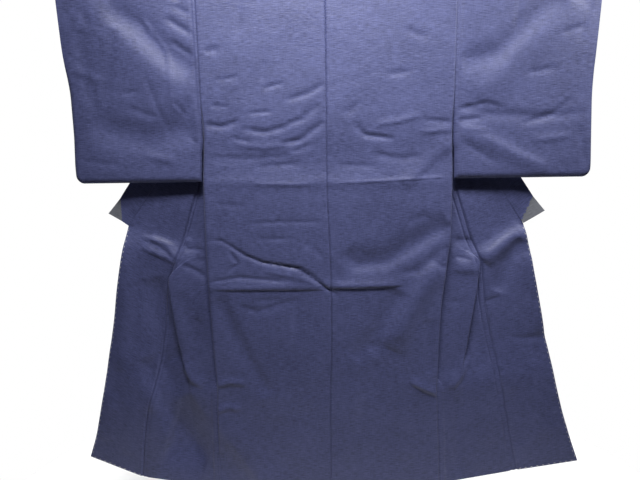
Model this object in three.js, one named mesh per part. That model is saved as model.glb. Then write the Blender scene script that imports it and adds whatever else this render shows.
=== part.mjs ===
// Man's plain silk kimono on a wooden rod. Millimetres, +Z up, rod along X, back of the garment to -Y.
// The origin is the middle of the rod. Lengths down the cloth start at the shoulder line on top of the rod.
import * as THREE from 'three';

const wallThickness = 1.6;      // one layer of lined silk with its seam turnings
const collarThickness = 2.6;    // the collar strip, folded double over its core
const seamGap = 0.3;            // open line left where two pieces are sewn
const rodRadius = 12;
const rodClearance = 1.5;       // the cloth lies this loosely over the rod
const rodLength = 1460;
const shoulderRadius = rodRadius + rodClearance + wallThickness / 2;   // middle of the cloth over the rod
const bodyLength = 1320;        // shoulder line to hem down the side seam
const sleeveLength = 498;       // shoulder line to sleeve bottom
const armholeLength = 400;      // shoulder line to the end of the sleeve seam
const cuffOpening = 262;        // shoulder line to the end of the cuff opening
const sleeveCorner = 20;        // radius of the lower outer corner of a sleeve
const neckHalfWidth = 90;       // centre to the end of the neck cut
const neckDrop = 16.3;          // neck cut sits this far behind the shoulder line
const collarEnd = 663;          // shoulder line to the collar end, down the cloth
const collarWidth = 57;         // folded width of the collar
const backPlane = -14.3;        // middle of the back panels below the rod
const silkColour = 0x353c68;
const collarColour = 0x333960;
const rodColour = 0xc9a877;

const quarterArc = shoulderRadius * Math.PI / 2;
const arcLift = quarterArc - shoulderRadius;   // cloth length minus drop, below the rod

// how each half hangs: x from the centre, drop below the shoulder, down the cloth length v
const halves = {
  left: {
    sign: -1, hemDrop: 1326, lineEnd: [532, 604],
    side: [[0, 318], [armholeLength, 312], [500, 317], [663, 317], [800, 313], [906, 309],
      [1017, 302], [1073, 304], [1320, 306]],
    // v, x and drop of the overlap seam, x and drop of the front edge
    apron: [[663, 388, 652, 532, 604], [740, 425, 745, 549, 679], [790, 438, 800, 559, 728],
      [850, 444, 862, 570, 787], [910, 452, 920, 579, 846], [960, 460, 968, 588, 895],
      [1010, 472, 1014, 598, 944], [1055, 483, 1055, 606, 989], [1110, 498, 1103, 617, 1042],
      [1180, 509, 1168, 632, 1111], [1250, 517, 1233, 647, 1179], [1320, 523, 1300, 669, 1245]],
    // v, x of the outer edge of the second fold
    secondFold: [[663, 384], [740, 428], [790, 424], [850, 416], [910, 407], [960, 398],
      [1010, 384], [1055, 376], [1320, 372]],
    cuff: [[0, 665], [160, 657], [269, 648], [380, 647], [456, 650], [498, 648]],
  },
  right: {
    sign: 1, hemDrop: 1304, lineEnd: [501, 607],
    side: [[0, 318], [armholeLength, 311], [500, 313], [650, 311], [700, 304], [750, 299],
      [800, 292], [850, 288], [907, 285], [960, 283], [1048, 281], [1100, 284], [1320, 292]],
    apron: [[663, 366, 640, 501, 607], [740, 396, 707, 519, 682], [790, 401, 756, 528, 731],
      [850, 406, 815, 541, 790], [910, 417, 873, 553, 848], [960, 427, 921, 562, 898],
      [1010, 438, 969, 574, 946], [1055, 447, 1013, 585, 990], [1110, 458, 1066, 597, 1043],
      [1180, 470, 1134, 614, 1111], [1250, 483, 1201, 635, 1178], [1320, 497, 1269, 658, 1244]],
    secondFold: [[663, 366], [700, 386], [740, 390], [790, 386], [850, 376], [910, 366],
      [960, 359], [1010, 348], [1055, 344], [1320, 344]],
    cuff: [[0, 657], [78, 653], [191, 647], [307, 646], [475, 652], [498, 650]],
  },
};

// depth of the two folds in each opened front: v, overlap of the first, overlap of the second
const foldDepth = [[0, 228, 0], [663, 80, 0], [700, 66, 0], [740, 50, 12], [790, 34, 24], [850, 22, 28],
  [910, 17, 24], [950, 14, 15], [1010, 9, 0], [1055, 0, 0], [1320, 0, 0]];
// y of each layer down the cloth: side seam, first layer, second, fourth, front edge
const layers = [[0, 14.3, 14.3, 14.3, 14.3, 14.3], [62, 14.3, 14.3, 20, 20, 19],
  [300, 14.3, 14.3, 20, 20, 19], [400, 0, 10, 20, 20, 19], [498, -4, 4, 18, 18, 19],
  [560, -6, 1, 14, 14, 18], [663, -8, -2, 8, 8, 16], [700, -8.5, -3, 6.5, 7.5, 15.5],
  [740, -9, -4, 5, 14, 15], [850, -10, -6, 2, 12, 13], [950, -11, -6.5, -1, 10, 12],
  [1010, -11, -6.5, -2, 2, 8], [1055, -12, -10, -8, -6, 5], [1180, -12, -11, -8, -8, 2],
  [1320, -12, -11, -8, -8, 0]];

// largest creases: x and drop of both ends, half width, height (minus is towards the back)
const backCreases = [[-312, 493, 306, 499, 16, -3], [-317, 763, 196, 758, 14, -3],
  [-171, 698, -4, 767, 16, -2.5], [290, 609, 145, 700, 22, 2.5], [222, 800, 158, 933, 30, -3]];
const apronCreases = [[-528, 627, -430, 886, 26, 4], [-430, 886, -394, 999, 22, 3],
  [-545, 660, -552, 1028, 20, -3], [-461, 956, -492, 1114, 18, -2.5],
  [345, 670, 439, 620, 18, -3], [391, 715, 484, 625, 16, -3], [520, 760, 590, 1150, 24, 3]];
const sleeveCreases = [[-588, 43, -398, 202, 30, -4], [-539, 56, -396, 130, 18, 3],
  [-579, 332, -446, 384, 24, 3], [544, 75, 329, 207, 22, 4], [591, 76, 375, 302, 30, -4],
  [400, 333, 600, 430, 26, 2.5]];

const lerp = (a, b, t) => a + (b - a) * t;
const step = (a, b, x) => {          // 0 below a, 1 above b and smooth between
  const t = Math.min(Math.max((x - a) / (b - a), 0), 1);
  return t * t * (3 - 2 * t);
};
const dropOf = (v) => Math.abs(v) < quarterArc
  ? shoulderRadius * (1 - Math.cos(v / shoulderRadius)) : Math.abs(v) - arcLift;

function lookUp(rows, v, column = 1) {
  let i = 0;
  while (i < rows.length - 2 && v > rows[i + 1][0]) i++;
  const t = Math.min(Math.max((v - rows[i][0]) / (rows[i + 1][0] - rows[i][0]), 0), 1);
  return lerp(rows[i][column], rows[i + 1][column], t);
}

function relief(creases, x, drop) {
  let sum = 0;
  for (const [x1, d1, x2, d2, width, height] of creases) {
    const ux = x2 - x1, ud = d2 - d1;
    const t = Math.min(Math.max(((x - x1) * ux + (drop - d1) * ud) / (ux * ux + ud * ud), 0), 1);
    const away = Math.hypot(x - x1 - t * ux, drop - d1 - t * ud);
    sum += height * Math.exp(-((away / width) ** 2));
  }
  return sum;
}

// closed wall round a surface of middle points, given as points [x, y, z] and triangles
function thicken(points, triangles, thickness = wallThickness) {
  const count = points.length, normals = points.map(() => new THREE.Vector3()), edges = new Set();
  const vertex = (i) => new THREE.Vector3(...points[i]);
  for (const [a, b, c] of triangles) {
    const cross = vertex(b).sub(vertex(a)).cross(vertex(c).sub(vertex(a)));
    for (const i of [a, b, c]) normals[i].add(cross);
    edges.add(`${a},${b}`).add(`${b},${c}`).add(`${c},${a}`);
  }
  const positions = [], index = [];
  for (const face of [0.5, -0.5]) points.forEach((p, i) => {
    const away = normals[i].clone().normalize().multiplyScalar(face * thickness);
    positions.push(p[0] + away.x, p[1] + away.y, p[2] + away.z);
  });
  for (const [a, b, c] of triangles) index.push(a, b, c, a + count, c + count, b + count);
  for (const edge of edges) {
    const [a, b] = edge.split(',').map(Number);
    if (!edges.has(`${b},${a}`)) index.push(b, a, a + count, b, a + count, b + count);
  }
  const at = (k) => new THREE.Vector3().fromArray(positions, 3 * index[k]);
  let volume = 0;
  for (let k = 0; k < index.length; k += 3) volume += at(k).dot(at(k + 1).cross(at(k + 2)));
  for (let k = 0; volume < 0 && k < index.length; k += 3) [index[k], index[k + 1]] = [index[k + 1], index[k]];
  const geometry = new THREE.BufferGeometry();
  geometry.setAttribute('position', new THREE.Float32BufferAttribute(positions, 3));
  geometry.setIndex(index);
  return geometry;
}

// adds rows of points to a surface; each row joins the one before across their shared columns
function addRows(surface, rows) {
  for (const row of rows) {
    const start = surface.points.length, last = surface.last;
    surface.points.push(...row);
    for (let j = 0; last && j < Math.min(row.length, last.length) - 1; j++) {
      const a = last.start + j, b = start + j;
      surface.triangles.push([a, b, b + 1], [a, b + 1, a + 1]);
    }
    surface.last = { start, length: row.length };
  }
}
// joins the last row to a new one with other columns, by the share of each row's length
function zipRow(surface, row, share) {
  const { start, length } = surface.last, next = surface.points.length;
  surface.points.push(...row);
  let i = 0, j = 0;
  while (i < length - 1 || j < row.length - 1) {
    const upper = i < length - 1 ? (i + 1) / (length - 1) : 2;
    const lower = j < row.length - 1 ? share(j + 1) : 2;
    if (upper <= lower) {
      surface.triangles.push([start + i, next + j, start + i + 1]);
      i++;
    } else {
      surface.triangles.push([start + i, next + j, next + j + 1]);
      j++;
    }
  }
  surface.last = { start: next, length: row.length };
}
function cloth(rows, thickness = wallThickness) {
  const surface = { points: [], triangles: [] };
  addRows(surface, rows);
  return thicken(surface.points, surface.triangles, thickness);
}

// a point over the rod or hanging from it, on the back (v < 0) or the front (v > 0)
function overRod(x, v) {
  if (Math.abs(v) >= quarterArc) return [x, Math.sign(v) * shoulderRadius, shoulderRadius - dropOf(v)];
  const angle = v / shoulderRadius;
  return [x, shoulderRadius * Math.sin(angle), shoulderRadius * Math.cos(angle)];
}
// where the overlap seam and the front edge pass at cloth length v: [x, drop]
function joinPoint(half, v) {
  const start = linePoint(half, 240);
  if (v <= 240) return linePoint(half, v);
  if (v >= collarEnd) return [lookUp(half.apron, v, 1), lookUp(half.apron, v, 2)];
  const t = (v - 240) / (collarEnd - 240);
  return [lerp(start[0], half.apron[0][1], t), lerp(start[1], half.apron[0][2], t)];
}
function linePoint(half, v) {
  const t = Math.max(v - quarterArc, 0) / (collarEnd - quarterArc);
  return [lerp(neckHalfWidth, half.lineEnd[0], t), lerp(shoulderRadius, half.lineEnd[1], t)];
}
const edgePoint = (half, v) => v <= collarEnd ? linePoint(half, v)
  : [lookUp(half.apron, v, 3), lookUp(half.apron, v, 4)];
const sideDrop = (half, v) => v < collarEnd ? dropOf(v)
  : lerp(dropOf(collarEnd), half.hemDrop, (v - collarEnd) / (bodyLength - collarEnd));

// one row of a front panel from the side seam to the overlap seam, folded twice behind the back
function frontRow(half, v) {
  const side = lookUp(half.side, v), [joinX, joinDrop] = joinPoint(half, v);
  const drop = sideDrop(half, v), a1 = lookUp(foldDepth, v, 1), a2 = lookUp(foldDepth, v, 2);
  const [y0, y1, y2, y4, yEdge] = [1, 2, 3, 4, 5].map((c) => lookUp(layers, v, c));
  const shut1 = step(0, 9, a1), shut2 = step(0, 12, a2), sewn = step(300, armholeLength, v);
  const yJoin = lerp(y4, yEdge, 0.3);
  const turn1 = Math.min((y2 - y1) / 2, 5), turn2 = Math.max((y4 - y2) / 4, 0.4);
  const bend = Math.min(Math.max((y1 - y0) * 0.8 * sewn, 3.5), 6);
  const start = side + lerp(-seamGap / 2, 0.45, sewn) * (1 - shut1 * sewn) - 0.85 * sewn * (1 - sewn);
  const inner = side - a1;
  const legStart = lerp(side + 6, side - bend - 0.5, shut1);
  const legEnd = lerp(side + 12, inner + turn1, shut1);
  const outStart = lerp(side + 20, inner + turn1, shut1);
  const span = joinX - outStart, unit = Math.min(Math.max(span, 4) / 40, 1);
  const foldX = lerp(outStart + span * 0.6, lookUp(half.secondFold, v), step(663, 740, v));
  const fold = Math.min(foldX, joinX + 4);
  const outEnd = lerp(fold - 3 * unit, fold - turn2, shut2);
  const thirdStart = lerp(fold, fold - turn2, shut2);
  const thirdEnd = lerp(fold + 3 * unit, fold - a2 + turn2, shut2);
  const fourthStart = lerp(fold + 6 * unit, fold - a2 + turn2, shut2);
  const y3 = (y2 + y4) / 2, rise1 = 0.16 * (y1 - y0), rise3 = 0.12 * (y4 - y2);
  const flat = [];          // [x, y]
  const line = (xa, ya, xb, yb, count) => {
    for (let k = 1; k <= count; k++) flat.push([lerp(xa, xb, k / count), lerp(ya, yb, k / count)]);
  };
  const turn = (xa, ya, xb, yb, bulge, count) => {
    for (let k = 1; k <= count; k++) {
      const a = Math.PI * k / count, t = (1 - Math.cos(a)) / 2;
      flat.push([lerp(xa, xb, k / count) + bulge * Math.sin(a), lerp(ya, yb, t)]);
    }
  };
  const yStart = y0 + 0.45 * shut1 * sewn;
  flat.push([start, yStart]);
  for (let k = 1; k <= 2; k++) {          // half of the fold at the side seam
    const a = Math.PI / 4 * k;
    const open = start + (legStart - start) * k / 2, folded = start - (start - legStart) * (1 - Math.cos(a));
    flat.push([lerp(open, folded, shut1), lerp(yStart, y1 - rise1, Math.sin(a))]);
  }
  line(legStart, y1 - rise1, legEnd, y1 + rise1, 2);
  turn(legEnd, y1 + rise1, outStart, y2, -turn1 * shut1, 4);
  line(outStart, y2, outEnd, y2, 4);
  turn(outEnd, y2, thirdStart, y3 - rise3, turn2 * shut2, 3);
  line(thirdStart, y3 - rise3, thirdEnd, y3 + rise3, 1);
  turn(thirdEnd, y3 + rise3, fourthStart, y4, -turn2 * shut2, 3);
  line(fourthStart, y4, joinX - seamGap / 2 * Number(v >= 240), yJoin, 2);
  return flat.map(([x, y], k) => {
    const across = k > 8 ? Math.min(Math.max((x - outStart) / Math.max(joinX - outStart, 1), 0), 1) : 0;
    const d = lerp(drop, joinDrop, across);
    const wave = relief(apronCreases, half.sign * x, d) * step(side - 5, side + 30, x) * Number(k > 8);
    return [half.sign * x, y + wave, shoulderRadius - d];
  });
}

// rows below the neck, where the opened front begins to turn over: v, length of the turned lip, its angle
const lipRows = [[34, 8, 0], [50, 9.5, 45], [66, 11, 100], [82, 18, 160], [98, 37, 180]];
function lipRow(half, [v, lipLength, degrees]) {
  const side = lookUp(half.side, v) - seamGap / 2, [edgeX, edgeDrop] = linePoint(half, v);
  const steps = [3, 3, 3, lipLength - 9].map((size) => lipLength < 9 ? lipLength / 4 : Math.max(size, 0.8));
  const path = [[0, 0]];
  steps.forEach((size, k) => {
    const angle = THREE.MathUtils.degToRad(degrees) * (k < 3 ? (k + 0.5) / 3 : 1), [x, y] = path.at(-1);
    path.push([x - size * Math.cos(angle), y + size * Math.sin(angle)]);
  });
  const foldStart = edgeX - path[4][0], drop = dropOf(v), row = [];
  for (let k = 0; k < 8; k++) {
    const x = lerp(side, foldStart, k / 8);
    row.push([half.sign * x, shoulderRadius, shoulderRadius - drop]);
  }
  path.forEach(([x, y], k) => row.push([half.sign * (foldStart + x), shoulderRadius + y,
    shoulderRadius - lerp(drop, edgeDrop, k / 4)]));
  return row;
}

// one row of a back panel from the side seam to the centre seam
function backRow(half, v) {
  const side = lookUp(half.side, v), drop = sideDrop(half, v);
  const a1 = lookUp(foldDepth, v, 1), y0 = lookUp(layers, v, 1);
  const shut = step(0, 9, a1), sewn = step(300, armholeLength, v);
  const edgeY = lerp(backPlane, y0 - 0.45 * shut, sewn), bend = 4 * sewn * shut + 5;
  const end = side - lerp(seamGap / 2, 0.45, sewn) * (1 - shut * sewn) - 0.85 * sewn * (1 - sewn);
  const seamX = lerp(-1, 6, step(500, 770, v)) * step(300, 400, v) * (1 - step(900, 1100, v));
  const xs = [half.sign * seamX + seamGap / 2, 45, neckHalfWidth];
  for (let k = 1; k <= 5; k++) xs.push(lerp(neckHalfWidth, end - bend, k / 5));
  const row = xs.map((x) => {
    const hang = lerp(drop, lerp(1318 * v / bodyLength, drop, (x / side) ** 2), step(663, bodyLength, v));
    return [half.sign * x, backPlane + relief(backCreases, half.sign * x, hang), shoulderRadius - hang];
  });
  const lastWave = row[7][1] - backPlane;
  for (let k = 1; k <= 3; k++) {
    const a = Math.PI / 6 * k;
    row.push([half.sign * (end - bend + bend * lerp(k / 3, Math.sin(a), shut * sewn)),
      lerp(backPlane, edgeY, 1 - Math.cos(a)) + lastWave * Math.cos(a), shoulderRadius - drop]);
  }
  return row.reverse();
}

const rodRows = [-quarterArc, -neckDrop, -8, 0, 8, neckDrop, quarterArc];
const frontStations = [140, 240, 300, 340, 375, armholeLength, 440, 498, 560, 620,
  collarEnd, 700, 713, 726, 740, 790, 850, 910, 950, 972, 984, 997, 1010, 1026, 1040, 1055, 1110, 1180, 1250,
  bodyLength];
const backStations = [120, 240, 300, 340, 375, armholeLength, 440, 488, 507, 526,
  663, 700, 740, 756, 772, 790, 850, 910, 960, 1010, 1026, 1040, 1055, 1110, 1180, 1250, bodyLength];

// back and front of one half are a single length of cloth over the shoulder, cut out at the neck
// shares of the last lip row that meet the first points of the front row, before the fold
const foldShares = [0, 0.02, 0.04, 0.4, 0.66, 0.72, 0.79, 0.86, 0.915];
function bodyHalf(half) {
  const surface = { points: [], triangles: [] };
  addRows(surface, [...backStations].reverse().map((v) => backRow(half, v)));
  addRows(surface, rodRows.slice(0, 2).map((v) => backRow(half, -v).map((p) => overRod(p[0], v))));
  const shoulder = backRow(half, 0).slice(0, 9);
  addRows(surface, rodRows.slice(2).map((v) => shoulder.map(([x]) =>
    overRod(x * lookUp(half.side, Math.abs(v)) / 318, v))));
  const [firstLip, ...lips] = lipRows.map((row) => lipRow(half, row));
  zipRow(surface, firstLip, (j) => j < 9 ? 0.93 * j / 8 : 0.93 + 0.0175 * (j - 8));
  addRows(surface, lips);
  const [first, ...rest] = frontStations.map((v) => frontRow(half, v));
  zipRow(surface, first, (j) => foldShares[j] ?? lerp(foldShares.at(-1), 1, (j - 8) / 13));
  addRows(surface, rest);
  return thicken(surface.points, surface.triangles);
}

function overlapPanel(half) {
  const rows = frontStations.filter((v) => v >= 240).map((v) => {
    const u = v === 240 ? 246 : v;
    const [ax, ad] = joinPoint(half, u), [bx, bd] = edgePoint(half, u);
    const y4 = lookUp(layers, u, 4), yEdge = lookUp(layers, u, 5), yJoin = lerp(y4, yEdge, 0.3);
    const row = [];
    for (let k = 0; k <= 5; k++) {
      const t = k / 5, x = lerp(ax + seamGap / 2, bx, t), d = lerp(ad, bd, t);
      row.push([half.sign * x, lerp(yJoin, yEdge, t) + relief(apronCreases, half.sign * x, d),
        shoulderRadius - d]);
    }
    return row;
  });
  return cloth(rows);
}

// the collar runs from one front edge round the back of the neck to the other
function collarBand() {
  const rows = [], widths = [seamGap, 20, 39, collarWidth + seamGap];
  const add = (p, w, lean = 0) =>
    rows.push(widths.map((s) => [p[0] + w[0] * s, p[1] + lean * s, p[2] + w[1] * s]));
  const along = (half) => {
    const list = [...frontStations].filter((v) => v >= 140 && v <= collarEnd);
    const [ex, ed] = linePoint(half, collarEnd), [sx, sd] = linePoint(half, quarterArc);
    const length = Math.hypot(ex - sx, ed - sd), w = [half.sign * (ed - sd) / length, (ex - sx) / length];
    const below = list.map((v) => {
      const [x, d] = linePoint(half, v);
      const y = lookUp(layers, v, 5) + relief(apronCreases, half.sign * x, d);
      return [[half.sign * x, y, shoulderRadius - d], w];
    });
    const besideLip = lipRows.map((row) => {
      const [x, y, z] = lipRow(half, row).at(-1);
      return [[x + w[0], Math.max(y, 18) + 0.8, z + w[1]], w];
    });
    return [...besideLip, ...below];
  };
  // x, y, z of the seam edge and the width direction from the left front to the back of the neck
  const neck = [[95.2, 18.2, -5.5, 0.72, 0.7], [91.8, 17.6, 2.5, 0.55, 0.83], [89.5, 13.5, 10, 0.4, 0.92],
    [88.3, 7, 14.4, 0.25, 0.97], [88, 0, 16, 0.12, 0.99], [86.5, -7, 14.4, 0.06, 1],
    [83, -11.6, 10.5, 0, 1], [76, -13.2, 7.6, 0, 1], [60, -13.4, 6.5, 0, 1], [30, -13.4, 6.3, 0, 1]];
  for (const [p, w] of along(halves.left).reverse()) add(p, w);
  for (const [x, y, z, wx, wz] of neck) add([-x, y, z], [-wx, wz], 0.1);
  add([0, -13.4, 6.3], [0, 1], 0.1);
  for (const [x, y, z, wx, wz] of [...neck].reverse()) add([x, y, z], [wx, wz], 0.1);
  for (const [p, w] of along(halves.right)) add(p, w);
  return cloth(rows, collarThickness);
}

// sleeve: one length over the rod, its two layers closed along the bottom and the lower sides
function sleeve(half) {
  const drops = [60, 120, 180, 240, 300, 340, 370, armholeLength, 430, 460, 474, 484, 492, sleeveLength];
  const columns = [0, 0.012, 0.04, 0.12, 0.26, 0.42, 0.58, 0.74, 0.88, 0.96, 0.988, 1];
  const list = [...drops].reverse().map((v) => -v).concat(rodRows, drops);
  const rows = list.map((v) => {
    const down = Math.abs(v), drop = dropOf(v), pinch = step(300, armholeLength, down);
    const inner = lookUp(half.side, down) + seamGap / 2 + 2.3 * pinch + 3 * step(armholeLength, 430, down);
    const left = Math.max(down - (sleeveLength - sleeveCorner), 0);
    const outer = lookUp(half.cuff, down) - sleeveCorner + Math.sqrt(sleeveCorner ** 2 - left ** 2 * 0.98);
    const round = (t) => Math.sqrt(1 - (1 - Math.min(t, 1)) ** 2);
    return columns.map((c) => {
      const x = lerp(inner, outer, c);
      if (down <= quarterArc + 0.1) return overRod(half.sign * x, v);
      const hang = lerp(shoulderRadius, 9, step(60, 420, down));
      const bottom = round((sleeveLength - down) / 16);
      const cuff = lerp(1, round((outer - x) / 14), step(cuffOpening - 30, cuffOpening, down));
      const arm = lerp(1, round((x - inner) / 14), pinch);
      const y = Math.max(hang * bottom * cuff * arm, wallThickness / 2 + seamGap / 2);
      const wave = relief(sleeveCreases, half.sign * x, drop) * bottom * cuff * step(0, 40, x - inner)
        * step(quarterArc, 60, down) * (v < 0 ? 1 : 0.6);
      return [half.sign * x, Math.sign(v) * y + wave * Number(y > 4), shoulderRadius - drop];
    });
  });
  return cloth(rows);
}

const group = new THREE.Group();
function addPart(name, geometry, colour, roughness) {
  const mesh = new THREE.Mesh(geometry, new THREE.MeshStandardMaterial({ color: colour, roughness }));
  mesh.name = name;
  group.add(mesh);
}

const rod = new THREE.CylinderGeometry(rodRadius, rodRadius, rodLength, 32, 1);
rod.rotateZ(Math.PI / 2);
addPart('rod', rod, rodColour, 0.6);
for (const side of ['left', 'right']) {
  addPart(`body_${side}`, bodyHalf(halves[side]), silkColour, 0.7);
  addPart(`sleeve_${side}`, sleeve(halves[side]), silkColour, 0.7);
  addPart(`overlap_${side}`, overlapPanel(halves[side]), silkColour, 0.7);
}
addPart('collar', collarBand(), collarColour, 0.7);

export default group;
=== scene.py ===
import math
import bpy
import numpy as np
from mathutils import Matrix, Vector, noise


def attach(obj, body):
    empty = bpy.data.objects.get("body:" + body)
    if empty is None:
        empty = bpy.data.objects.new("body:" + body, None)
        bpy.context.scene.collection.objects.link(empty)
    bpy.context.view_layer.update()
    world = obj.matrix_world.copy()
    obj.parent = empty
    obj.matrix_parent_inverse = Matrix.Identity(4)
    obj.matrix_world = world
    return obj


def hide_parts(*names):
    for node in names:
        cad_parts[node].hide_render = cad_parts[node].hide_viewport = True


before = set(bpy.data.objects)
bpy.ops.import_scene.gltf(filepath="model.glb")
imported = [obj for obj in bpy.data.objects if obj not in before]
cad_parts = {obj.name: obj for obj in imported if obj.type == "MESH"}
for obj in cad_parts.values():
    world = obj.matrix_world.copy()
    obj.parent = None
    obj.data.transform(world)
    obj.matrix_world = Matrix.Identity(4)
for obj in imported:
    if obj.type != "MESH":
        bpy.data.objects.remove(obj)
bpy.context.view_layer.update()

# Sizes are in millimetres until a mesh is made. x runs along the rod, drop is down from the shoulder line,
# and v is the length of cloth from the shoulder line, on the back below zero where a sheet has both sides.
mm = 0.001
garment = {
    "shoulderRadius": 14.3,   # middle of the cloth over the rod
    "bodyLength": 1320, "sleeveLength": 498, "armhole": 400, "cuffOpening": 262, "sleeveCorner": 20,
    "neckHalf": 90, "neckDrop": 16.3, "collarEnd": 663, "collarWidth": 57, "backPlane": -14.3,
    "clearOfRod": 60,         # from here down the cloth hangs free of the rod
    "closing": 300,           # from here to the armhole's end the sleeve seam gives way to the side seam
    "frontTop": 140, "overlapTop": 240,
    "wall": 1.1, "collarWall": 2.4, "seamGap": 0.3, "rowStep": 4.2,
}
shoulder, seamGap, backPlane = garment["shoulderRadius"], garment["seamGap"], garment["backPlane"]
bodyLength, collarEnd = garment["bodyLength"], garment["collarEnd"]
quarterArc = shoulder * math.pi / 2
arcLift = quarterArc - shoulder
lineCount = 11      # rows of cloth over each quarter of the rod

# How each half hangs, as the cut solids do. lineEnd: x and drop of the collar's end. seamLine: how far
# beside the overlap seam its turnings show, and how deep. side: v, x. apron: v, x and drop of the overlap
# seam, x and drop of the front edge. secondFold: v, x. cuff: v, x.
halves = {
    "left": {
        "sign": -1, "hemDrop": 1326, "lineEnd": (532, 604), "seamLine": (9, 1.6),
        "side": [(0, 318), (400, 312), (500, 317), (663, 317), (800, 313), (906, 309), (1017, 302),
                 (1073, 304), (1320, 306)],
        "apron": [(663, 388, 652, 532, 604), (740, 425, 745, 549, 679), (790, 438, 800, 559, 728),
                  (850, 444, 862, 570, 787), (910, 452, 920, 579, 846), (960, 460, 968, 588, 895),
                  (1010, 472, 1014, 598, 944), (1055, 483, 1055, 606, 989), (1110, 498, 1103, 617, 1042),
                  (1180, 509, 1168, 632, 1111), (1250, 517, 1233, 647, 1179), (1320, 523, 1300, 669, 1245)],
        "secondFold": [(663, 384), (740, 428), (790, 424), (850, 416), (910, 407), (960, 398),
                       (1010, 384), (1055, 376), (1320, 372)],
        "cuff": [(0, 665), (160, 657), (269, 648), (380, 647), (456, 650), (498, 648)],
    },
    "right": {
        "sign": 1, "hemDrop": 1304, "lineEnd": (501, 607), "seamLine": (14, 3),
        "side": [(0, 318), (400, 311), (500, 313), (650, 311), (700, 304), (750, 299), (800, 292),
                 (850, 288), (907, 285), (960, 283), (1048, 281), (1100, 284), (1320, 292)],
        "apron": [(663, 366, 640, 501, 607), (740, 396, 707, 519, 682), (790, 401, 756, 528, 731),
                  (850, 406, 815, 541, 790), (910, 417, 873, 553, 848), (960, 427, 921, 562, 898),
                  (1010, 438, 969, 574, 946), (1055, 447, 1013, 585, 990), (1110, 458, 1066, 597, 1043),
                  (1180, 470, 1134, 614, 1111), (1250, 483, 1201, 635, 1178), (1320, 497, 1269, 658, 1244)],
        "secondFold": [(663, 366), (700, 386), (740, 390), (790, 386), (850, 376), (910, 366),
                       (960, 359), (1010, 348), (1055, 344), (1320, 344)],
        "cuff": [(0, 657), (78, 653), (191, 647), (307, 646), (475, 652), (498, 650)],
    },
}
# v, overlap of the first fold of each opened front, overlap of the second
foldDepth = [(0, 228, 0), (663, 80, 0), (700, 66, 0), (740, 50, 12), (790, 34, 24), (850, 22, 28),
             (910, 17, 24), (950, 14, 15), (1010, 9, 0), (1055, 0, 0), (1320, 0, 0)]
# v, then y of the side seam, first layer, second, fourth, front edge
layers = [(0, 14.3, 14.3, 14.3, 14.3, 14.3), (62, 14.3, 14.3, 20, 20, 19), (300, 14.3, 14.3, 20, 20, 19),
          (400, 0, 10, 20, 20, 19), (498, -4, 4, 18, 18, 19), (560, -6, 1, 14, 14, 18),
          (663, -8, -2, 8, 8, 16), (700, -8.5, -3, 6.5, 7.5, 15.5), (740, -9, -4, 5, 14, 15),
          (850, -10, -6, 2, 12, 13), (950, -11, -6.5, -1, 10, 12), (1010, -11, -6.5, -2, 2, 8),
          (1055, -12, -10, -8, -6, 5), (1180, -12, -11, -8, -8, 2), (1320, -12, -11, -8, -8, 0)]
lipTable = [(34, 8, 0), (50, 9.5, 45), (66, 11, 100), (82, 18, 160), (98, 37, 180)]  # v, turned lip, angle

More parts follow.
